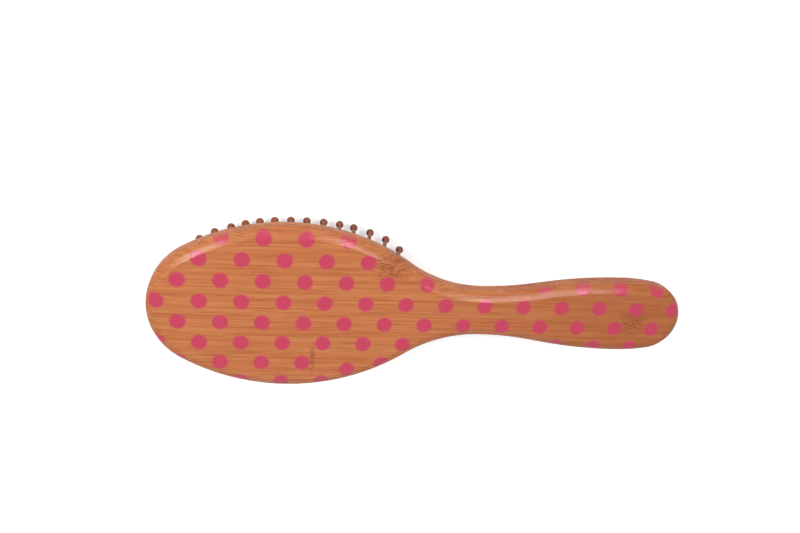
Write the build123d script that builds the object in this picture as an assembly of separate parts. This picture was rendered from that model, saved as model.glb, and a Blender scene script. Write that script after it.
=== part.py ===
# Oval cushion hair brush: a laminated bamboo board with a rubber air cushion and rows of wooden pins.
# Millimetres. +X runs towards the handle's end, +Z out of the flat back. The pins point down and
# their balls stand on z = 0. The origin is at the middle of the whole brush, on the ground.

from math import atan, atan2, cos, degrees, hypot, pi, radians, sin, sqrt, tan
import os

from build123d import *

# ---- Board outline, seen from the back. x is measured from the head's end along the axis. ----
board_length = 230.0
nose_radius = 27.6          # the arc round the head's end
head_half_width = 36.0      # at the widest place of the head
head_widest_x = 57.9
shoulder_radius = 87.7      # the head's sides, from the widest place towards the neck
neck_half_width = 10.3
neck_x = 139.4
grip_hollow_radius = 136.0  # the hollow arc that leaves the neck towards the grip
grip_half_width = 16.3
butt_length = 26.2          # from the grip's widest place to the handle's end
butt_side_radius = 75.0     # the grip's sides along the butt
cut_margin = 1.0            # how far a cutting block runs past the face that it opens

# ---- Board section ----
board_thickness = 12.0
back_bevel_in = 4.1         # the bevel round the back: how far it comes in over the flat
back_bevel_down = 2.0       # and how far it goes down the side
back_edge_radius = 3.8      # the round between the bevel and the side
front_edge_radius = 4.0
rim_width = 8.0             # the shaped band round the board, wider than the bevel
back_ply_thickness = 3.4    # three glued bamboo plies: back, core and face
core_ply_thickness = 4.6

# ---- Cushion opening and air chamber ----
nose_land = 5.6             # the front face left between the oval opening and the head's end
side_land = 5.5             # and at the head's sides
opening_end_half_width = 13.3  # of the board, abreast of the opening's end near the neck
chamber_roof = 0.8          # wood of the core ply left between the chamber and the back ply
groove_depth = 1.2          # the undercut in the opening's wall that holds the rubber's bead
groove_lip = 2.0            # wood left between the front face and the groove
groove_height = 1.8

# ---- Rubber cushion ----
rubber_thickness = 1.8
rubber_clearance = 0.15     # between the rubber and the wood round it
crown_height = 5.2          # how far the cushion's middle stands out of the board's front face
rim_depth = 1.0             # how far inside the front face the dome starts
dome_power = 2.8            # the higher, the flatter the dome's middle
edge_thickness = 1.6        # of the rubber at the dome's edge, under the wall
dome_steps = [1.0, 0.97, 0.92, 0.85, 0.75, 0.6, 0.42, 0.22]  # shares of the oval that shape the dome
drill_length = 9.0          # of the drills through the rubber, half on each side of its outer face
vent_radius = 0.9
vent_inset = 4.6            # from the opening's edge, at the end near the grip

# ---- Pins ----
pin_ball_radius = 1.7
pin_tip_radius = 0.85       # the shank just behind the ball
pin_root_radius = 1.05      # the shank where it leaves the rubber
pin_reach = 18.0            # from the rubber's outer face to the ball's end
pin_head_radius = 1.6
pin_head_thickness = 0.8
pin_head_gap = 1.3          # between the head and the rubber's inner face
pin_hole_clearance = 0.1
first_row_inset = 0.9       # from the pins' oval, at the head's end
row_pitch = 6.16
pin_pitch = 6.5             # wanted spacing within a row
pin_nose_inset = 3.5        # the oval that the outer pins stand on, in from the opening's ends
pin_neck_inset = 7.4
pin_side_inset = 5.0        # and from its sides
pin_nose_power = 2.04       # above 2, that oval has fuller corners
pin_neck_power = 2.4
splay_reach = 95.0          # across the brush the pins lean outward, away from a line this far above them
# Rest lean of the rows along the brush, from the head's end on, in degrees, positive to the grip.
row_leans = [-13, -11.5, -10.5, -10, -7.5, -8, -8.5, -8, -5.5, -3, 1, 4, 4, 8, 11.5, 12.5, 13.5]

# ---- Places that follow from these ----
grip_widest_x = board_length - butt_length
opening_end_rise = shoulder_radius - head_half_width + opening_end_half_width
opening_end_x = head_widest_x + sqrt(shoulder_radius**2 - opening_end_rise**2)
cushion_half_length = (opening_end_x - nose_land) / 2
cushion_half_width = head_half_width - side_land
cushion_x = nose_land + cushion_half_length
chamber_depth = board_thickness - back_ply_thickness - chamber_roof
pin_nose_reach = cushion_half_length - pin_nose_inset
pin_neck_reach = cushion_half_length - pin_neck_inset
pin_half_width = cushion_half_width - pin_side_inset
row_count = 1 + int((pin_nose_reach + pin_neck_reach - first_row_inset) / row_pitch)

# ---- Levels, from the ground up ----
front_z = pin_reach + crown_height
back_z = front_z + board_thickness
core_bottom_z = back_z - back_ply_thickness - core_ply_thickness
back_ply_bottom_z = back_z - back_ply_thickness
chamber_top_z = front_z + chamber_depth
rim_z = front_z + rim_depth
groove_bottom_z = front_z + groove_lip
groove_top_z = groove_bottom_z + groove_height


def along(x):
    """Place along the brush: from the head's end to the part's own x."""
    return x - board_length / 2


def joining_radius(run, rise, radius):
    """Radius of the arc that touches another of the given radius, one hollow and one bulging.

    Both are level at their far ends, which lie a length run and a height rise apart."""
    return (run**2 + rise**2) / (2 * rise) - radius


def tangent_radius(reach, rise, radius):
    """Radius of the arc that turns back to the axis: it is tangent to a side arc at that arc's top.

    The end arc is centred on the axis, ends a length reach beyond the side arc's top, which stands
    rise above the axis, and lies inside the side arc of the given radius."""
    return (reach**2 + rise**2 - 2 * rise * radius) / (2 * (reach - radius))


def arc(centre, radius, start, end):
    """Arc from one angle to another, in radians, the short way as written."""
    return CenterArc((*centre, 0), radius, degrees(start), degrees(end - start))


def board_outline(inset=0.0):
    """Closed wire of tangent arcs round the board.

    An inset draws the same line further in: bulging arcs get smaller and hollow ones larger."""
    nose = (nose_radius, 0.0)
    # The head's front side passes through the widest place and lies round the nose arc.
    reach = head_widest_x - nose_radius
    cheek_radius = (reach**2 + head_half_width**2 - nose_radius**2) / (2 * (head_half_width - nose_radius))
    cheek = (head_widest_x, head_half_width - cheek_radius)
    shoulder = (head_widest_x, head_half_width - shoulder_radius)
    # The hollows before and after the neck are level there and touch the shoulder and the grip's side.
    neck_radius = joining_radius(neck_x - head_widest_x, head_half_width - neck_half_width,
                                 shoulder_radius)
    side_radius = joining_radius(grip_widest_x - neck_x, grip_half_width - neck_half_width,
                                 grip_hollow_radius)
    neck = (neck_x, neck_half_width + neck_radius)
    hollow = (neck_x, neck_half_width + grip_hollow_radius)
    side = (grip_widest_x, grip_half_width - side_radius)
    butt = (grip_widest_x, grip_half_width - butt_side_radius)
    end_radius = tangent_radius(board_length - grip_widest_x, grip_half_width, butt_side_radius)
    end = (board_length - end_radius, 0.0)

    nose_turn = atan2(nose[1] - cheek[1], nose[0] - cheek[0])
    neck_turn = atan2(neck[1] - shoulder[1], neck[0] - shoulder[0])
    flank_turn = atan2(side[1] - hollow[1], side[0] - hollow[0])
    end_turn = atan2(end[1] - butt[1], end[0] - butt[0])

    upper = [
        arc(cheek, cheek_radius - inset, nose_turn, pi / 2),
        arc(shoulder, shoulder_radius - inset, pi / 2, neck_turn),
        arc(neck, neck_radius + inset, neck_turn - pi, -pi / 2),
        arc(hollow, grip_hollow_radius + inset, -pi / 2, flank_turn),
        arc(side, side_radius - inset, flank_turn + pi, pi / 2),
        arc(butt, butt_side_radius - inset, pi / 2, end_turn),
    ]
    ends = [
        arc(nose, nose_radius - inset, nose_turn, 2 * pi - nose_turn),
        arc(end, end_radius - inset, -end_turn, end_turn),
    ]
    lower = [mirror(edge, about=Plane.XZ) for edge in upper]
    return Wire([edge for piece in upper + lower + ends for edge in piece.edges()])


def slab(low, high):
    """Block larger than the board, between two levels."""
    size = 2 * board_length
    return Pos(0, 0, (low + high) / 2) * Box(size, size, high - low)


def oval(half_length, half_width, z):
    """Elliptical face at a level, centred on the cushion."""
    return Pos(along(cushion_x), 0, z) * Ellipse(half_length, half_width)


def oval_block(grow, low, high):
    """Block with the cushion's oval, grown all round, between two levels."""
    return extrude(oval(cushion_half_length + grow, cushion_half_width + grow, low), high - low)


def edge_section(start, outward):
    """Closed section of the board's edge: bevel, round, side and front round, back to the plate."""
    slope = atan2(back_bevel_down, back_bevel_in)
    run_in = back_edge_radius * tan((pi / 2 - slope) / 2)   # from the bevel's foot to the round's ends
    foot = board_thickness - back_bevel_down
    bevel_end = (-run_in * cos(slope), foot + run_in * sin(slope))
    bulge = (pi / 2 - slope) / 2
    round_middle = (back_edge_radius * (cos(bulge) - 1), foot - run_in + back_edge_radius * sin(bulge))
    corner = front_edge_radius * (1 - cos(pi / 4))
    section = Curve() + [
        Polyline((-rim_width, board_thickness), (-back_bevel_in, board_thickness), bevel_end),
        ThreePointArc(bevel_end, round_middle, (0, foot - run_in)),
        Line((0, foot - run_in), (0, front_edge_radius)),
        ThreePointArc((0, front_edge_radius), (-corner, corner), (-front_edge_radius, 0)),
        Polyline((-front_edge_radius, 0), (-rim_width, 0), (-rim_width, board_thickness)),
    ]
    plane = Plane(origin=start, x_dir=outward, z_dir=outward.cross(Vector(0, 0, 1)))
    return plane * make_face(section)


def make_board():
    """The whole board before it is parted into plies: a plate with a shaped rim swept round it."""
    outline = Pos(along(0), 0, front_z) * board_outline()
    start, heading = outline @ 0, outline % 0
    outward = Vector(-heading.Y, heading.X, 0)
    plate = extrude(Pos(along(0), 0, front_z) * make_face(board_outline(rim_width)), board_thickness)
    return plate + sweep(edge_section(start, outward), path=outline)


def make_plies():
    """Back, core and face plies. The core and the face hold the chamber, the face the groove."""
    board = make_board()
    board -= oval_block(0, front_z - cut_margin, chamber_top_z)
    board -= oval_block(groove_depth, groove_bottom_z, groove_top_z)
    return {
        "back_ply": board & slab(back_ply_bottom_z, back_z + cut_margin),
        "core_ply": board & slab(core_bottom_z, back_ply_bottom_z),
        "face_ply": board & slab(front_z - cut_margin, core_bottom_z),
    }


def dome_drop(share):
    """How far the rubber's outer face stands out of the board at a share of the oval."""
    return (crown_height + rim_depth) * (1 - share**dome_power) - rim_depth


def dome_slope(share, half_axis):
    """Angle of the dome's outer face to the level, along one half axis of the oval."""
    return atan((crown_height + rim_depth) * dome_power * share**(dome_power - 1) / half_axis)


def make_cushion(seats):
    """Rubber dome with a wall and a bead at its edge, and a hole for each pin and for the air."""
    half_length = cushion_half_length - rubber_clearance
    half_width = cushion_half_width - rubber_clearance
    outside, inside = [], []
    for share in dome_steps:
        outside.append(oval(half_length * share, half_width * share, front_z - dome_drop(share)))
    wall_length, wall_width = half_length - rubber_thickness, half_width - rubber_thickness
    inside.append(oval(wall_length, wall_width, rim_z + edge_thickness))
    for share in dome_steps[2:]:
        long_slope, cross_slope = dome_slope(share, half_length), dome_slope(share, half_width)
        depth = rubber_thickness * cos((long_slope + cross_slope) / 2)
        inside.append(oval(half_length * share - rubber_thickness * sin(long_slope),
                           half_width * share - rubber_thickness * sin(cross_slope),
                           front_z - dome_drop(share) + depth))
    bead_low, bead_high = groove_bottom_z + rubber_clearance, groove_top_z - rubber_clearance
    cushion = loft(outside) + oval_block(-rubber_clearance, rim_z, bead_high)
    cushion += oval_block(groove_depth - rubber_clearance, bead_low, bead_high)
    hollow = loft(inside)
    hollow += oval_block(-rubber_clearance - rubber_thickness, rim_z + edge_thickness, bead_high)
    cushion -= hollow
    drill = Cylinder(pin_root_radius + pin_hole_clearance, drill_length)
    holes = [seat * drill for row in seats for seat in row]
    vent_x = along(cushion_x + cushion_half_length - vent_inset)
    holes.append(Pos(vent_x, 0, front_z) * Cylinder(vent_radius, drill_length))
    return cushion - holes


def row_lean(row):
    """Lean of a row: the list's values in turn, spread evenly where the rows are more or fewer."""
    place = row * (len(row_leans) - 1) / (row_count - 1)
    before = min(int(place), len(row_leans) - 2)
    return row_leans[before] + (place - before) * (row_leans[before + 1] - row_leans[before])


def row_seats():
    """For each row, the frames of its pins: origin on the rubber's outer face, z out along the pin."""
    rows = []
    for row in range(row_count):
        from_middle = first_row_inset + row * row_pitch - pin_nose_reach
        towards_neck = from_middle > 0
        reach = pin_neck_reach if towards_neck else pin_nose_reach
        power = pin_neck_power if towards_neck else pin_nose_power
        half = pin_half_width * (1 - abs(from_middle / reach) ** power) ** (1 / power)
        # Neighbouring rows hold odd and even numbers of pins, so that they stand staggered.
        odd = (row + 1) % 2
        count = 2 * round((2 * half / pin_pitch + 1 - odd) / 2) + odd
        seats = []
        for pin in range(count):
            y = half * (2 * pin / (count - 1) - 1) if count > 1 else 0.0
            share = hypot(from_middle / cushion_half_length, y / cushion_half_width)
            foot = (along(cushion_x + from_middle), y, front_z - dome_drop(share))
            seats.append(Plane(origin=foot, z_dir=(tan(radians(row_lean(row))), y / splay_reach, -1)))
        rows.append(seats)
    return rows


def make_pin():
    """One turned pin: flat head inside the rubber, neck through it, tapered shank and ball."""
    neck = rubber_thickness + pin_head_gap
    ball = pin_reach - pin_ball_radius
    shank_end = ball - sqrt(pin_ball_radius**2 - pin_tip_radius**2)
    side = Polyline((0, -neck - pin_head_thickness), (pin_head_radius, -neck - pin_head_thickness),
                    (pin_head_radius, -neck), (pin_root_radius, -neck), (pin_root_radius, 0),
                    (pin_tip_radius, shank_end))
    round_end = ThreePointArc((pin_tip_radius, shank_end), (pin_ball_radius, ball), (0, pin_reach))
    outline = Curve() + [side, round_end, Line((0, pin_reach), (0, -neck - pin_head_thickness))]
    return revolve(Plane.XZ * make_face(outline), Axis.Z)


def make_parts():
    seats = row_seats()
    pin = make_pin()
    parts = make_plies()
    parts["cushion_pad"] = make_cushion(seats)
    for number, row in enumerate(seats, 1):
        parts[f"pin_row_{number:02d}"] = Compound([(seat * pin).solid() for seat in row])
    return parts


os.makedirs("parts", exist_ok=True)
for name, shape in make_parts().items():
    export_step(shape, f"parts/{name}.step")
    print(name, len(shape.solids()), round(shape.volume))
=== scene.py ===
import math

import bpy
import numpy as np
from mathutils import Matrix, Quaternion, Vector


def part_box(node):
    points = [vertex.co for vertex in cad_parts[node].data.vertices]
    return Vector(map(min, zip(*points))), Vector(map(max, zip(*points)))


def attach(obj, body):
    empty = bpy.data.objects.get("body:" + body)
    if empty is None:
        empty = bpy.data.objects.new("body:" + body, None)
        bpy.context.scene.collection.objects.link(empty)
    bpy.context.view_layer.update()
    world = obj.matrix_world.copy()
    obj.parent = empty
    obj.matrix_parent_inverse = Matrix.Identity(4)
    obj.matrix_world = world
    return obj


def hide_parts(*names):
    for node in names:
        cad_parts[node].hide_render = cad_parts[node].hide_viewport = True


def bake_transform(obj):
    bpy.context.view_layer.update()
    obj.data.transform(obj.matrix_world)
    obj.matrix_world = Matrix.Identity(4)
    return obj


# Oval cushion brush with a printed, lacquered bamboo board. Lengths in the dictionaries are millimetres,
# the meshes are metres. x along the brush is counted from the head's end where a name ends in X.

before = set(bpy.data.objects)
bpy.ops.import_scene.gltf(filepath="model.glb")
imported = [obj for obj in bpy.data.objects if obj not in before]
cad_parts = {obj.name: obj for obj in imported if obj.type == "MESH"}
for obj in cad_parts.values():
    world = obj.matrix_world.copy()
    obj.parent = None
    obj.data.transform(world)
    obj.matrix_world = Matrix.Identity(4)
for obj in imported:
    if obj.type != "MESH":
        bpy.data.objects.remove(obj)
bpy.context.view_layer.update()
mm = 0.001
backLow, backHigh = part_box("back_ply")
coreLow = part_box("core_ply")[0]
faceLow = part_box("face_ply")[0]
padLow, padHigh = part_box("cushion_pad")
headEnd = backLow.x / mm
boardLength = (backHigh.x - backLow.x) / mm
headHalfWidth = backHigh.y / mm
frontZ = faceLow.z / mm
backZ = backHigh.z / mm
boardThickness = backZ - frontZ
print("frame loaded, board length", round(boardLength, 2), "mm")


def ladder(count, first, flip):
    # Flat lid on a loop that mirrors about the axis: rung i joins point i to point count - i.
    half = count // 2
    i = np.arange(1, half - 1)
    rungs = np.stack([i, i + 1, count - i - 1, count - i], axis=1) + first
    tips = np.array([[0, 1, count - 1], [half - 1, half, half + 1]]) + first
    faces = rungs.tolist() + tips.tolist()
    return [face[::-1] for face in faces] if flip else faces


def shell(name, loops, topLid=False, bottomLid=False, ring=False):
    # Skin over loops[v, u]: quads between neighbouring loops, u closed, v closed too where ring is
    # set. The loops run anticlockwise seen from above and v runs down the outside, so faces look out.
    rows, count = loops.shape[:2]
    lower = np.arange(1, rows + 1) % rows if ring else np.arange(1, rows)
    upper = np.arange(len(lower))
    u = np.arange(count)
    a = upper[:, None] * count + u
    b = lower[:, None] * count + u
    c = lower[:, None] * count + (u + 1) % count
    d = upper[:, None] * count + (u + 1) % count
    faces = np.stack([b, c, d, a], axis=-1).reshape(-1, 4).tolist()
    if topLid:
        faces += ladder(count, 0, False)
    if bottomLid:
        faces += ladder(count, (rows - 1) * count, True)
    mesh = bpy.data.meshes.new(name)
    mesh.from_pydata((loops.reshape(-1, 3) * mm).tolist(), [], faces)
    return finishMesh(name, mesh)


def finishMesh(name, mesh, sharpAngle=32):
    # Smooth shading with sharp edges where neighbouring faces turn by more than the angle.
    mesh.validate()
    mesh.shade_smooth()
    mesh.set_sharp_from_angle(angle=math.radians(sharpAngle))
    piece = bpy.data.objects.new(name, mesh)
    bpy.context.scene.collection.objects.link(piece)
    return piece


def storeNumbers(piece, name, values):
    # One number for each vertex, which a material reads by its name.
    attribute = piece.data.attributes.new(name, "FLOAT", "POINT")
    attribute.data.foreach_set("value", np.ascontiguousarray(values, dtype=np.float32).ravel())


board = {
    "noseRadius": 27.6,
    "headWidestX": 57.9,
    "shoulderRadius": 87.7,
    "neckX": 139.4,
    "neckHalfWidth": 10.3,
    "gripHollowRadius": 136.0,
    "gripHalfWidth": 16.3,
    "buttLength": 26.2,
    "buttSideRadius": 75.0,
    "bevelIn": 4.1,
    "bevelDown": 2.0,
    "bevelOuterSlope": 31.0,  # degrees, the bevel is a little full
    "creaseRadius": 0.7,      # softening where the flat back meets the bevel
    "backEdgeRadius": 3.8,
    "frontEdgeRadius": 4.0,
    "glueChamfer": 0.05,      # each ply's corners along the glue lines
    "lipRadius": 0.5,         # the opening's corner on the front face
    "grooveLip": 2.0,
    "grooveHeight": 1.8,
    "grooveDepth": 1.2,
    "chamberRoof": 0.8,
    "pointSpacing": 0.7,      # between points along the outline
    "cutSpacing": 0.02,       # between a ply's cut and the next loop of the section
    "arcSteps": 9,            # points round each corner of the section
}


def joiningRadius(run, rise, radius):
    # The second of two arcs, one hollow and one bulging, that are level at their far ends: the radii
    # add up to (run^2 + rise^2) / (2 rise).
    return (run**2 + rise**2) / (2 * rise) - radius


def outlineArcs():
    # Centre, radius, start and end angle and sign of each arc of the upper half, handle's end first.
    b = board
    gripX = boardLength - b["buttLength"]
    reach = b["headWidestX"] - b["noseRadius"]
    cheekRadius = ((reach**2 + headHalfWidth**2 - b["noseRadius"]**2)
                   / (2 * (headHalfWidth - b["noseRadius"])))
    neckRadius = joiningRadius(b["neckX"] - b["headWidestX"], headHalfWidth - b["neckHalfWidth"],
                               b["shoulderRadius"])
    sideRadius = joiningRadius(gripX - b["neckX"], b["gripHalfWidth"] - b["neckHalfWidth"],
                               b["gripHollowRadius"])
    length, rise, butt = b["buttLength"], b["gripHalfWidth"], b["buttSideRadius"]
    endRadius = (length**2 + rise**2 - 2 * rise * butt) / (2 * (length - butt))
    centres = {
        "nose": (b["noseRadius"], 0.0),
        "cheek": (b["headWidestX"], headHalfWidth - cheekRadius),
        "shoulder": (b["headWidestX"], headHalfWidth - b["shoulderRadius"]),
        "neck": (b["neckX"], b["neckHalfWidth"] + neckRadius),
        "hollow": (b["neckX"], b["neckHalfWidth"] + b["gripHollowRadius"]),
        "side": (gripX, b["gripHalfWidth"] - sideRadius),
        "butt": (gripX, b["gripHalfWidth"] - butt),
        "end": (boardLength - endRadius, 0.0),
    }

    def turn(here, there):
        (x0, y0), (x1, y1) = centres[here], centres[there]
        return math.atan2(y1 - y0, x1 - x0)

    up, down, back = math.pi / 2, -math.pi / 2, math.pi
    flank = turn("hollow", "side")
    neckTurn = turn("shoulder", "neck")
    return [
        (centres["end"], endRadius, 0.0, turn("butt", "end"), 1),
        (centres["butt"], butt, turn("butt", "end"), up, 1),
        (centres["side"], sideRadius, up, flank + back, 1),
        (centres["hollow"], b["gripHollowRadius"], flank, down, -1),
        (centres["neck"], neckRadius, down, neckTurn - back, -1),
        (centres["shoulder"], b["shoulderRadius"], neckTurn, up, 1),
        (centres["cheek"], cheekRadius, up, turn("cheek", "nose"), 1),
        (centres["nose"], b["noseRadius"], turn("cheek", "nose"), back, 1),
    ]


def boardOutline():
    # Points and outward normals: centre + radius (cos a, sin a) along each arc, then mirrored below.
    points, normals = [], []
    for (cx, cy), radius, start, end, sign in outlineArcs():
        steps = max(4, round(abs(end - start) * radius / board["pointSpacing"]))
        angle = np.linspace(start, end, steps, endpoint=False)
        direction = np.stack([np.cos(angle), np.sin(angle)], axis=1)
        points.append(np.array([cx, cy]) + radius * direction)
        normals.append(sign * direction)
    upper = np.vstack(points + [[[0.0, 0.0]]])
    facing = np.vstack(normals + [[[-1.0, 0.0]]])
    mirrored = [1.0, -1.0]
    points = np.vstack([upper, upper[-2:0:-1] * mirrored])
    points[:, 0] += headEnd
    return points, np.vstack([facing, facing[-2:0:-1] * mirrored])


def edgeProfile():
    # From the flat back to the front face: inward distance, height over the front, length along the
    # skin. All arcs: the crease from 0 to the bevel's inner slope, the full bevel to its outer slope,
    # the back's round to 90 degrees and the front's. The bevel's radius is chord / (2 sin(half turn)).
    b = board
    soft, back, front = b["creaseRadius"], b["backEdgeRadius"], b["frontEdgeRadius"]
    slope, outer = math.atan2(b["bevelDown"], b["bevelIn"]), math.radians(b["bevelOuterSlope"])
    foot = boardThickness - b["bevelDown"] - back * math.tan((math.pi / 2 - slope) / 2)
    run = b["bevelIn"] - back + back * math.sin(outer)
    drop = boardThickness - foot - back * math.cos(outer)
    inner = 2 * math.atan2(drop, run) - outer
    belly = math.hypot(run, drop) / (2 * math.sin((outer - inner) / 2))
    trim = soft * math.tan(inner / 2)
    crease = np.linspace(0, inner, b["arcSteps"])
    bevel = np.linspace(inner + trim / belly, outer, b["arcSteps"], endpoint=False)[1:]
    turn = np.linspace(outer, math.pi / 2, 2 * b["arcSteps"])
    roll = np.linspace(0, math.pi / 2, b["arcSteps"])
    inward = np.concatenate([b["bevelIn"] + trim - soft * np.sin(crease),
                             b["bevelIn"] - belly * (np.sin(bevel) - math.sin(inner)),
                             back - back * np.sin(turn), front - front * np.cos(roll)])
    height = np.concatenate([boardThickness - soft + soft * np.cos(crease),
                             boardThickness + belly * (np.cos(bevel) - math.cos(inner)),
                             foot + back * np.cos(turn), front - front * np.sin(roll)])
    run = np.concatenate([[0], np.cumsum(np.hypot(np.diff(inward), np.diff(height)))])
    return inward, height, run


def edgeBetween(high, low, chamfer):
    # The profile's stretch between two heights, with a small chamfer at each end that is a glue line.
    inward, height, run = edgeProfile()
    inside = (height < high - 1e-6) & (height > low + 1e-6)
    ends = [(high, chamfer if high < boardThickness else 0), (low, chamfer if low > 0 else 0)]
    rows = []
    for level, cut in ends:
        at = [np.interp(level, height[::-1], column[::-1]) for column in (inward, run)]
        towards = -cut if level == high else cut
        beside = [np.interp(level + towards, height[::-1], column[::-1]) for column in (inward, run)]
        pair = [(at[0] + cut, level, at[1]), (beside[0], level + towards, beside[1])]
        rows.append(pair if cut else pair[:1])
    middle = np.stack([inward[inside], height[inside], run[inside]], axis=1)
    top, bottom = rows[0][-1][1] - board["cutSpacing"], rows[1][-1][1] + board["cutSpacing"]
    keep = (middle[:, 1] < top) & (middle[:, 1] > bottom)
    return np.vstack([rows[0], middle[keep], rows[1][::-1]])


outlinePoints, outlineNormals = boardOutline()
openingMiddle = (padLow.x + padHigh.x) / 2 / mm
rubber = {
    "clearance": 0.15,
    "thickness": 1.8,
    "edgeThickness": 1.6,
    "rimDepth": 1.0,
    "domePower": 2.8,
    "spokes": 420,
    "rings": 96,
    "innerRings": 24,
    "middleShare": 0.004,     # the smallest ring, as a share of the dome
    "innerShare": 0.92,       # the dome's inside stops here, short of the bead
    "blendDepth": 1.6,        # the dome stays with the board at the rim and moves below this
    "collarHeight": 0.75,     # the raised ring round each pin's foot
    "collarRadius": 2.05,
    "footReach": 0.5,         # a pin's points this near the dome belong to its foot
    "footSpacing": 2.0,       # at least this far between two feet of a row
    "ventX": 4.6,             # the air hole, in from the opening's end
    "ventRadius": 0.9,
    "ventDepth": 1.2,
    "ventLip": 0.45,
    "ventLipShare": 1.6,      # the lip's place, as a share of the hole's radius
}
beadOut = board["grooveDepth"] - rubber["clearance"]
padHalfLength = (padHigh.x - padLow.x) / 2 / mm - beadOut
padHalfWidth = (padHigh.y - padLow.y) / 2 / mm - beadOut
openingHalfLength = padHalfLength + rubber["clearance"]
openingHalfWidth = padHalfWidth + rubber["clearance"]


def edgeLoops(profile):
    # Loops point(u) - inward(v) normal(u) at height(v), and each point's run from the flat back's edge.
    inward, height, run = profile[:, 0, None, None], profile[:, 1], profile[:, 2, None]
    plan = outlinePoints[None] - inward * outlineNormals[None]
    level = np.broadcast_to((frontZ + height)[:, None, None], plan.shape[:2] + (1,))
    return np.concatenate([plan, level], axis=2), np.broadcast_to(run, plan.shape[:2])


def openingLoops(rows):
    # Oval loops (grow, height) whose points face the outline's: the head's by their angle about the
    # opening's middle, the handle's spread over the oval's end.
    x, y = outlinePoints[:, 0] - openingMiddle, outlinePoints[:, 1]
    angle = np.abs(np.arctan2(y, x))
    handle = outlinePoints[:, 0] > headEnd + board["neckX"]
    fromEnd = np.minimum(np.arange(len(x)), len(x) - np.arange(len(x)))
    neckAngle, neckCount = angle[~handle].min(), fromEnd[handle].max()
    angle[handle] = neckAngle * fromEnd[handle] / (neckCount + 1)
    angle = np.where(np.arange(len(x)) > len(x) // 2, -angle, angle)
    loops = []
    for grow, height in rows:
        a, b = openingHalfLength + grow, openingHalfWidth + grow
        radius = 1 / np.hypot(np.cos(angle) / a, np.sin(angle) / b)
        loops.append(np.stack([openingMiddle + radius * np.cos(angle), radius * np.sin(angle),
                               np.full(len(x), frontZ + height)], axis=1))
    return np.array(loops)


def boardPly(name, high, low, wall):
    # One ply: its stretch of the edge, then any wall of the opening, closed by lids or into a ring.
    profile = edgeBetween(high, low, board["glueChamfer"])
    if high >= boardThickness:   # one loop more on the flat, so that its shading stays flat
        step = board["creaseRadius"] / 4
        profile = np.vstack([profile[0] + [step, 0, -step], profile])
    loops, run = edgeLoops(profile)
    if wall:
        inner = openingLoops(wall)
        loops = np.concatenate([loops, inner])
        run = np.concatenate([run, np.full(inner.shape[:2], 2 * boardThickness)])
    ring = name == "facePly"   # its opening goes right through
    piece = shell(name, loops, topLid=not ring, bottomLid=not ring, ring=ring)
    storeNumbers(piece, "edgeRun", run * mm)
    return piece


grooveLow = board["grooveLip"]
grooveHigh = grooveLow + board["grooveHeight"]
coreTop = backLow.z / mm - frontZ
coreBottom = coreLow.z / mm - frontZ
lip = board["lipRadius"]
lipTurn = np.linspace(0, math.pi / 2, 5)
faceWall = [(lip - lip * math.sin(t), lip - lip * math.cos(t)) for t in lipTurn]
faceWall += [(0, grooveLow), (board["grooveDepth"], grooveLow), (board["grooveDepth"], grooveHigh),
             (0, grooveHigh), (0, coreBottom)]
coreWall = [(0, coreBottom), (0, coreTop - board["chamberRoof"])]
backPly = boardPly("backPly", boardThickness, coreTop, [])
corePly = boardPly("corePly", coreTop, coreBottom, coreWall)
facePly = boardPly("facePly", coreBottom, 0.0, faceWall)
for piece, node in ((backPly, "back_ply"), (corePly, "core_ply"), (facePly, "face_ply")):
    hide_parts(node)
    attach(piece, "brush")
print("board made of", sum(len(p.data.polygons) for p in (backPly, corePly, facePly)), "faces")


def domeZ(share):
    # Outer face: front - (crown + rim) (1 - share^power) + rim, where share is 0 in the middle and 1
    # at the edge.
    crown = frontZ - padLow.z / mm
    return frontZ - (crown + rubber["rimDepth"]) * (1 - share**rubber["domePower"]) + rubber["rimDepth"]


def padShare(x, y):
    # How far out on the pad's oval: the length of (x / half length, y / half width).
    return np.hypot((x - openingMiddle) / padHalfLength, y / padHalfWidth)


def pinFeet():
    # Where each pin leaves the rubber: the middle of its root ring, the vertices close to the dome.
    feet = []
    for name in sorted(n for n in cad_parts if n.startswith("pin_row")):
        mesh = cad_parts[name].data
        points = np.empty(len(mesh.vertices) * 3, np.float32)
        mesh.vertices.foreach_get("co", points)
        points = points.reshape(-1, 3) / mm
        offDome = np.abs(points[:, 2] - domeZ(padShare(points[:, 0], points[:, 1])))
        near = points[offDome < rubber["footReach"]]
        near = near[np.argsort(near[:, 1])]
        breaks = np.flatnonzero(np.diff(near[:, 1]) > rubber["footSpacing"])
        for pin in np.split(near, breaks + 1):
            feet.append((pin.min(0) + pin.max(0)) / 2)
    return np.array(feet)


feet = pinFeet()
print("pins found:", len(feet))


def ovalLoops(halfLength, halfWidth, z):
    # Loops (middle + a cos t, b sin t, z), one for each a, b and z; t is evenly spread.
    t = np.linspace(0, 2 * math.pi, rubber["spokes"], endpoint=False)
    x = openingMiddle + np.outer(halfLength, np.cos(t))
    y = np.outer(halfWidth, np.sin(t))
    return np.stack([x, y, np.broadcast_to(np.reshape(z, (-1, 1)), x.shape)], axis=2)


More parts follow.
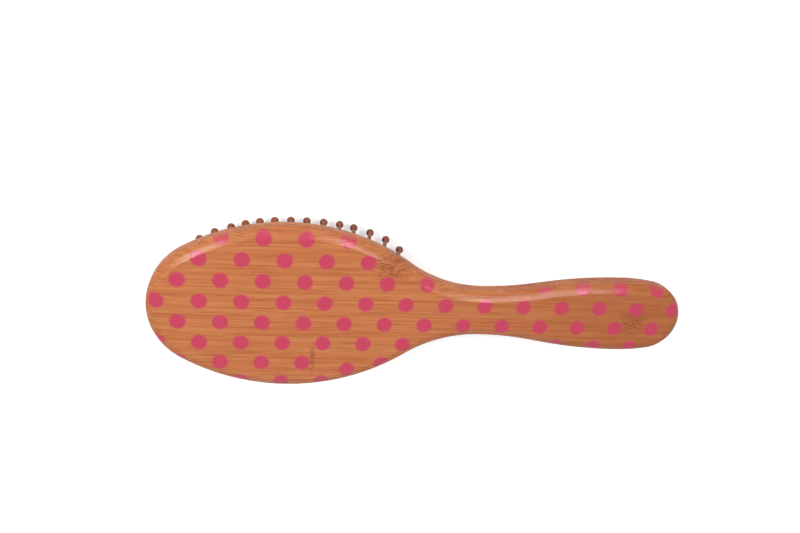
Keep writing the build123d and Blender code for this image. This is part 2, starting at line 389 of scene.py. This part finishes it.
def raiseCollars(loops):
    # A smooth ring under each foot: height exp(-(d / radius)^4). The vent adds its lip,
    # exp(-3 (d / radius - share)^2), less its bore, depth exp(-(d / radius)^4).
    r = rubber
    x, y = loops[..., 0], loops[..., 1]
    lift = np.zeros_like(x)
    for footX, footY, _ in feet:
        distance = np.hypot(x - footX, y - footY)
        lift = np.maximum(lift, r["collarHeight"] * np.exp(-(distance / r["collarRadius"])**4))
    ventX = openingMiddle + openingHalfLength - r["ventX"]
    distance = np.hypot(x - ventX, y) / r["ventRadius"]
    lift += r["ventLip"] * np.exp(-(distance - r["ventLipShare"])**2 * 3)
    lift -= r["ventDepth"] * np.exp(-distance**4)
    loops[..., 2] -= lift
    return loops


def makeCushion():
    # From the dome's middle out to its edge, up the wall, round the bead and back under the dome.
    r = rubber
    rim = frontZ + r["rimDepth"]
    share = np.linspace(r["middleShare"], 1, r["rings"])
    outer = raiseCollars(ovalLoops(padHalfLength * share, padHalfWidth * share, domeZ(share)))
    beadLow, beadHigh = frontZ + grooveLow + r["clearance"], frontZ + grooveHigh - r["clearance"]
    steps = [(0, beadLow), (beadOut, beadLow), (beadOut, beadHigh), (-r["thickness"], beadHigh),
             (-r["thickness"], rim + r["edgeThickness"])]
    grow, level = np.array(steps).T
    wall = ovalLoops(padHalfLength + grow, padHalfWidth + grow, level)
    share = np.linspace(r["innerShare"], r["middleShare"], r["innerRings"])
    inner = ovalLoops(padHalfLength * share, padHalfWidth * share, domeZ(share) + r["thickness"])
    loops = np.concatenate([outer, wall, inner])[::-1]
    return shell("cushionPad", loops, topLid=True, bottomLid=True)


cushionPad = makeCushion()
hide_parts("cushion_pad")
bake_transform(cushionPad)
print("cushion made of", len(cushionPad.data.polygons), "faces")


def addNode(tree, kind, inputs=None, **settings):
    # A shader node whose inputs are given as links or as plain values.
    node = tree.nodes.new(kind)
    for key, value in settings.items():
        setattr(node, key, value)
    for key, value in (inputs or {}).items():
        if isinstance(value, bpy.types.NodeSocket):
            tree.links.new(value, node.inputs[key])
        else:
            node.inputs[key].default_value = value
    return node


def startMaterial(name, shader):
    # A material with one Principled shader whose plain numbers are set on its own sockets.
    material = bpy.data.materials.new(name)
    material.use_nodes = True
    tree = material.node_tree
    principled = tree.nodes["Principled BSDF"]
    for key, value in shader.items():
        principled.inputs[key].default_value = value
    return material, tree, principled


def math2(tree, operation, a, b=0.0):
    return addNode(tree, "ShaderNodeMath", {0: a, 1: b}, operation=operation).outputs[0]


def vector2(tree, operation, a, b=(0.0, 0.0, 0.0), c=(0.0, 0.0, 0.0), output="Vector"):
    inputs = {0: a, 1: b, 2: c}
    return addNode(tree, "ShaderNodeVectorMath", inputs, operation=operation).outputs[output]


def lengthOf(tree, vector):
    return vector2(tree, "LENGTH", vector, output="Value")


def mixColour(tree, factor, a, b, blend="MIX"):
    inputs = {0: factor, 6: a, 7: b}
    return addNode(tree, "ShaderNodeMix", inputs, data_type="RGBA", blend_type=blend).outputs[2]


def softStep(tree, value, low, high, outLow=0.0, outHigh=1.0):
    # Eased from outLow at low to outHigh at high.
    inputs = {0: value, 1: low, 2: high, 3: outLow, 4: outHigh}
    return addNode(tree, "ShaderNodeMapRange", inputs, interpolation_type="SMOOTHSTEP").outputs[0]


def linear(red, green, blue):
    # A colour as a picture editor gives it, from 0 to 255, in the renderer's linear light.
    def one(value):
        value /= 255
        return value / 12.92 if value <= 0.04045 else ((value + 0.055) / 1.055) ** 2.4
    return (one(red), one(green), one(blue), 1.0)


def grainNoise(tree, coordinates, perMm, detail, roughness=0.5, distortion=0.0):
    # Noise in millimetres, stretched along the grain by the small first number.
    scaled = vector2(tree, "MULTIPLY", coordinates, [n / mm for n in perMm])
    inputs = {"Vector": scaled, "Scale": 1.0, "Detail": detail, "Roughness": roughness,
              "Distortion": distortion}
    return addNode(tree, "ShaderNodeTexNoise", inputs).outputs[0]


def addBump(tree, height, look):
    # A fine relief of the given height pattern, as deep as the look says.
    inputs = {"Height": height, "Strength": look["reliefStrength"], "Distance": look["reliefDepth"] * mm}
    return addNode(tree, "ShaderNodeBump", inputs).outputs[0]


bamboo = {
    "light": linear(202, 124, 77),
    "middle": linear(184, 103, 58),
    "gold": linear(206, 139, 84),
    # the dark tone of the dashes and joints, also the tone of the painted shade towards the handle's end
    "dark": linear(146, 73, 34),
    "fleck": linear(128, 62, 30),
    "fibre": (0.04, 3.6, 0.8),       # noise cells for each millimetre along, across and down
    "strand": (0.012, 0.6, 0.2),
    "dash": (0.05, 4.0, 0.9),
    "speck": (0.5, 1.5, 0.6),
    "fibreStep": (0.38, 0.6),        # noise from and to, then the share at each end
    "goldStep": (0.4, 0.56, 0.35, 0.0),
    "bandStep": (0.5, 0.68, 0.0, 0.45),
    "dashStep": (0.53, 0.68, 0.0, 0.65),
    "speckStep": (0.5, 0.6),
    # Joints of the cane: x from the head's end, y, reach along, reach across, strength.
    "joints": [(68.3, -22.0, 1.7, 10.0, 1.0), (99.0, 21.0, 11.0, 9.0, 1.0),
               (207.1, -0.5, 8.0, 10.0, 0.9), (39.6, 32.0, 8.0, 5.0, 0.35)],
    "jointFade": (0.2, 1.0),         # a joint fades between these shares of its reach
    "jointShade": 0.2,
    "speckShade": 0.85,
    "paintedShadeFrom": 90.0,               # painted shade: the cane darkens from here to the handle's end, as the light falls off
    # how far the painted shade darkens the handle's end
    "paintedShade": 0.42,
    "ripple": (0.25, 1.6, 1.6),      # the lacquer's relief over the fibres
    "reliefStrength": 0.8,
    "reliefDepth": 0.2,
}
lacquer = {
    "Roughness": 0.45,
    "Specular IOR Level": 0.0,
    "Coat Weight": 0.3,
    "Coat Roughness": 0.15,
    "Coat IOR": 1.6,
}
dots = {
    "colour": linear(200, 60, 91),
    "gloss": 0.55,            # coat weight over the ink
    "grain": 0.12,            # share of the cane that shows through
    "radius": 3.28,
    "pitchX": 16.95,
    "pitchY": 18.36,          # between every other row
    "evenX": 4.51,            # a dot of the first set, from the head's end
    "evenY": 4.06,
    "turn": 0.377,            # degrees the print is turned on the board
    "turnX": 99.1,            # about this place
    "fadeFrom": 1.8,          # the print fades from here to here, past the flat back's edge
    "fadeTo": 8.5,
    "edge": 0.6,              # softness of a dot's edge
    "stray": (83.04, -26.47),  # one dot sits off its place
    "unprinted": [(81.1, -23.35), (106.21, 22.42), (131.63, 13.24)],
    "unprintedMargin": 1.0,
}


def jointFlecks(tree, coordinates):
    # Dark specks near each joint: an oval falloff times a threshold of fine noise.
    speck = grainNoise(tree, coordinates, bamboo["speck"], detail=2.0, roughness=0.6, distortion=0.8)
    total = None
    for jointX, jointY, along, across, strength in bamboo["joints"]:
        centre = ((jointX + headEnd) * mm, jointY * mm, 0)
        away = vector2(tree, "SUBTRACT", coordinates, centre)
        scaled = vector2(tree, "MULTIPLY", away, (1 / (along * mm), 1 / (across * mm), 0))
        near = softStep(tree, lengthOf(tree, scaled), *bamboo["jointFade"], strength, 0.0)
        total = near if total is None else math2(tree, "MAXIMUM", total, near)
    limit = softStep(tree, speck, *bamboo["speckStep"])
    return math2(tree, "MULTIPLY", total, limit), total


def dotMask(tree):
    # 1 inside a dot: distance to the nearest point of two interleaved lattices, less than the radius.
    d = dots
    flat = addNode(tree, "ShaderNodeTexCoord").outputs["Object"]
    pivot = ((d["turnX"] + headEnd) * mm, 0, 0)
    inputs = {"Vector": flat, "Center": pivot, "Axis": (0, 0, 1), "Angle": -math.radians(d["turn"])}
    turned = addNode(tree, "ShaderNodeVectorRotate", inputs, rotation_type="AXIS_ANGLE").outputs[0]
    half = (d["pitchX"] * mm / 2, d["pitchY"] * mm / 2, 1.0)
    backHalf = tuple(-n for n in half)

    def distanceTo(x, y, wrapped=True):
        origin = ((x + headEnd) * mm, y * mm, 0)
        away = vector2(tree, "SUBTRACT", turned, origin)
        if wrapped:
            away = vector2(tree, "WRAP", away, half, backHalf)
        return lengthOf(tree, vector2(tree, "MULTIPLY", away, (1, 1, 0)))

    def inside(distance, radius):
        low, high = (radius - d["edge"]) * mm, (radius + d["edge"]) * mm
        return softStep(tree, distance, low, high, 1.0, 0.0)

    first = distanceTo(d["evenX"], d["evenY"])
    second = distanceTo(d["evenX"] + d["pitchX"] / 2, d["evenY"] + d["pitchY"] / 2)
    regular = inside(math2(tree, "MINIMUM", first, second), d["radius"])
    for place in d["unprinted"]:
        cleared = inside(distanceTo(*place, wrapped=False), d["radius"] + d["unprintedMargin"])
        regular = math2(tree, "MULTIPLY", regular, math2(tree, "SUBTRACT", 1.0, cleared))
    stray = inside(distanceTo(*d["stray"], wrapped=False), d["radius"])
    mask = math2(tree, "MAXIMUM", regular, stray)
    reach = addNode(tree, "ShaderNodeAttribute", attribute_name="edgeRun").outputs["Fac"]
    faded = softStep(tree, reach, d["fadeFrom"] * mm, d["fadeTo"] * mm, 1.0, 0.0)
    return math2(tree, "MULTIPLY", mask, faded)


def bambooMaterial(name, printed):
    # Fibres as noise drawn out along the cane, tone bands, dark dashes, flecked joints and a painted
    # shade that darkens the handle's end, all under a rippled lacquer.
    b = bamboo
    material, tree, principled = startMaterial(name, lacquer)
    place = addNode(tree, "ShaderNodeTexCoord").outputs["Object"]
    fibre = grainNoise(tree, place, b["fibre"], detail=3.0, roughness=0.6)
    strand = grainNoise(tree, place, b["strand"], detail=2.0)
    dash = grainNoise(tree, place, b["dash"], detail=2.0)
    colour = mixColour(tree, softStep(tree, fibre, *b["fibreStep"]), b["middle"], b["light"])
    colour = mixColour(tree, softStep(tree, strand, *b["goldStep"]), colour, b["gold"])
    colour = mixColour(tree, softStep(tree, strand, *b["bandStep"]), colour, b["middle"])
    colour = mixColour(tree, softStep(tree, dash, *b["dashStep"]), colour, b["dark"])
    along = addNode(tree, "ShaderNodeSeparateXYZ", {0: place}).outputs["X"]
    # painted shade: darker towards the handle's end, standing in for the light falling off along the
    # brush
    paintedShadeStart, paintedShadeEnd = (b["paintedShadeFrom"] + headEnd) * mm, (boardLength + headEnd) * mm
    paintedShade = softStep(tree, along, paintedShadeStart, paintedShadeEnd, 0.0, b["paintedShade"])
    colour = mixColour(tree, paintedShade, colour, b["dark"])
    specks, near = jointFlecks(tree, place)
    colour = mixColour(tree, math2(tree, "MULTIPLY", near, b["jointShade"]), colour, b["dark"])
    colour = mixColour(tree, math2(tree, "MULTIPLY", specks, b["speckShade"]), colour, b["fleck"])
    if printed:
        inked = mixColour(tree, dots["grain"], dots["colour"], colour, "MULTIPLY")
        mask = dotMask(tree)
        colour = mixColour(tree, mask, colour, inked)
        gloss = softStep(tree, mask, 0.0, 1.0, lacquer["Coat Weight"], dots["gloss"])
        tree.links.new(gloss, principled.inputs["Coat Weight"])
    tree.links.new(colour, principled.inputs["Base Color"])
    ripple = grainNoise(tree, place, b["ripple"], detail=3.0)
    tree.links.new(addBump(tree, ripple, b), principled.inputs["Coat Normal"])
    return material


rubberLook = {
    "shader": {"Base Color": linear(28, 27, 28), "Specular IOR Level": 0.45},
    "grain": (3.0, 3.0, 3.0),
    "roughness": (0.3, 0.7, 0.44, 0.56),   # noise from and to, then the roughness at each end
    "reliefStrength": 0.2,
    "reliefDepth": 0.1,
}


def rubberMaterial():
    # Black satin rubber with a fine moulded grain.
    look = rubberLook
    material, tree, principled = startMaterial("blackRubber", look["shader"])
    place = addNode(tree, "ShaderNodeTexCoord").outputs["Object"]
    grain = grainNoise(tree, place, look["grain"], detail=2.0)
    tree.links.new(softStep(tree, grain, *look["roughness"]), principled.inputs["Roughness"])
    tree.links.new(addBump(tree, grain, look), principled.inputs["Normal"])
    return material


pinLook = {
    "shader": {"Roughness": 0.45, "Specular IOR Level": 0.05,
               "Coat Weight": 0.45, "Coat Roughness": 0.2},
    "light": linear(162, 88, 56),
    "dark": linear(114, 60, 37),
    "grain": (1.4, 1.4, 0.12),
    "grainStep": (0.3, 0.7),
}


def pinMaterial():
    # Reddish brown turned wood with fine grain along the pin, lightly polished.
    look = pinLook
    material, tree, principled = startMaterial("pinWood", look["shader"])
    place = addNode(tree, "ShaderNodeTexCoord").outputs["Object"]
    grain = grainNoise(tree, place, look["grain"], detail=3.0, roughness=0.6)
    colour = mixColour(tree, softStep(tree, grain, *look["grainStep"]), look["light"], look["dark"])
    tree.links.new(colour, principled.inputs["Base Color"])
    return material


def dress(piece, material):
    # One material over the whole piece, in its one material slot.
    piece.data.materials.clear()
    piece.data.materials.append(material)


printedBamboo = bambooMaterial("printedBamboo", True)
plainBamboo = bambooMaterial("plainBamboo", False)
dress(backPly, printedBamboo)
dress(corePly, printedBamboo)
dress(facePly, plainBamboo)
dress(cushionPad, rubberMaterial())
pinWood = pinMaterial()
for name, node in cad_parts.items():
    if name.startswith("pin_row"):
        dress(node, pinWood)
print("materials done")


studio = {
    "floorSize": 6.0,
    "floorColour": (0.8, 0.8, 0.8, 1.0),
    "floorGlow": (0.5, 0.8),  # what the floor adds so that it shows white, near the brush and far away
    "glowReach": (0.3, 1.2),  # metres from the brush, from near to far
    "worldLight": 0.25,
    "lamps": {                # watts, width and height, place
        "upperSoftbox": (1.8, (0.8, 0.8), (0.0, 1.1, 0.7)),
        "lowerSoftbox": (1.8, (0.8, 0.8), (0.0, -1.1, 0.7)),
        "rightSoftbox": (2.4, (0.26, 0.16), (0.224, 0.346, 0.706)),
        "leftSoftbox": (3.2, (0.30, 0.20), (-0.436, 0.252, 0.642)),
    },
}
camera = {
    "place": (-0.06387, 0.14464, 0.35299),
    "aim": (-0.01267, 0.02135, 0.03512),
    "roll": 160.945,          # degrees
    "lens": 37.8,
    "sensor": 36.0,
}


def seenDirectly(tree):
    # 1 for rays from the camera or off glossy and clear surfaces.
    rays = addNode(tree, "ShaderNodeLightPath").outputs
    glossy = math2(tree, "MAXIMUM", rays["Is Glossy Ray"], rays["Is Transmission Ray"])
    return math2(tree, "MAXIMUM", rays["Is Camera Ray"], glossy)


def makeFloor():
    # A white square under the brush that keeps its shadow.
    half = studio["floorSize"] / 2
    corners = [(-half, -half, 0), (half, -half, 0), (half, half, 0), (-half, half, 0)]
    mesh = bpy.data.meshes.new("floor")
    mesh.from_pydata(corners, [], [(0, 1, 2, 3)])
    floor = bpy.data.objects.new("floor", mesh)
    bpy.context.scene.collection.objects.link(floor)
    shader = {"Base Color": studio["floorColour"], "Roughness": 0.9, "Specular IOR Level": 0.0,
              "Emission Color": (1, 1, 1, 1)}
    material, tree, principled = startMaterial("floorWhite", shader)
    away = lengthOf(tree, addNode(tree, "ShaderNodeTexCoord").outputs["Object"])
    glow = softStep(tree, away, *studio["glowReach"], *studio["floorGlow"])
    glow = math2(tree, "MULTIPLY", seenDirectly(tree), glow)
    tree.links.new(glow, principled.inputs["Emission Strength"])
    mesh.materials.append(material)


def makeWorld():
    # Plain white all round: full where it is seen, weaker as light.
    world = bpy.data.worlds.new("studio")
    world.use_nodes = True
    tree = world.node_tree
    strength = softStep(tree, seenDirectly(tree), 0.0, 1.0, studio["worldLight"], 1.0)
    tree.links.new(strength, tree.nodes["Background"].inputs["Strength"])
    tree.nodes["Background"].inputs["Color"].default_value = (1, 1, 1, 1)
    bpy.context.scene.world = world


def makeLamp(name, watts, size, place, aim=(0, 0, 0.02)):
    # A softbox that faces the brush.
    data = bpy.data.lights.new(name, "AREA")
    data.shape = "RECTANGLE"
    data.energy = watts
    data.size, data.size_y = size
    lamp = bpy.data.objects.new(name, data)
    lamp.location = place
    lamp.rotation_euler = (Vector(aim) - Vector(place)).to_track_quat("-Z", "Y").to_euler()
    bpy.context.scene.collection.objects.link(lamp)


def makeCamera():
    # Looks from its place at its aim and is rolled about that line.
    data = bpy.data.cameras.new("camera")
    data.lens, data.sensor_width = camera["lens"], camera["sensor"]
    data.clip_start, data.clip_end = 0.01, 20
    view = bpy.data.objects.new("camera", data)
    back = Vector(camera["place"]) - Vector(camera["aim"])
    view.location = camera["place"]
    view.rotation_mode = "QUATERNION"
    roll = Quaternion((0, 0, 1), math.radians(camera["roll"]))
    view.rotation_quaternion = back.to_track_quat("Z", "Y") @ roll
    bpy.context.scene.collection.objects.link(view)
    bpy.context.scene.camera = view


makeFloor()
makeWorld()
for lampName, (watts, size, place) in studio["lamps"].items():
    makeLamp(lampName, watts, size, place)
makeCamera()
bpy.context.scene.view_settings.view_transform = "Standard"
print("floor, light and camera done")
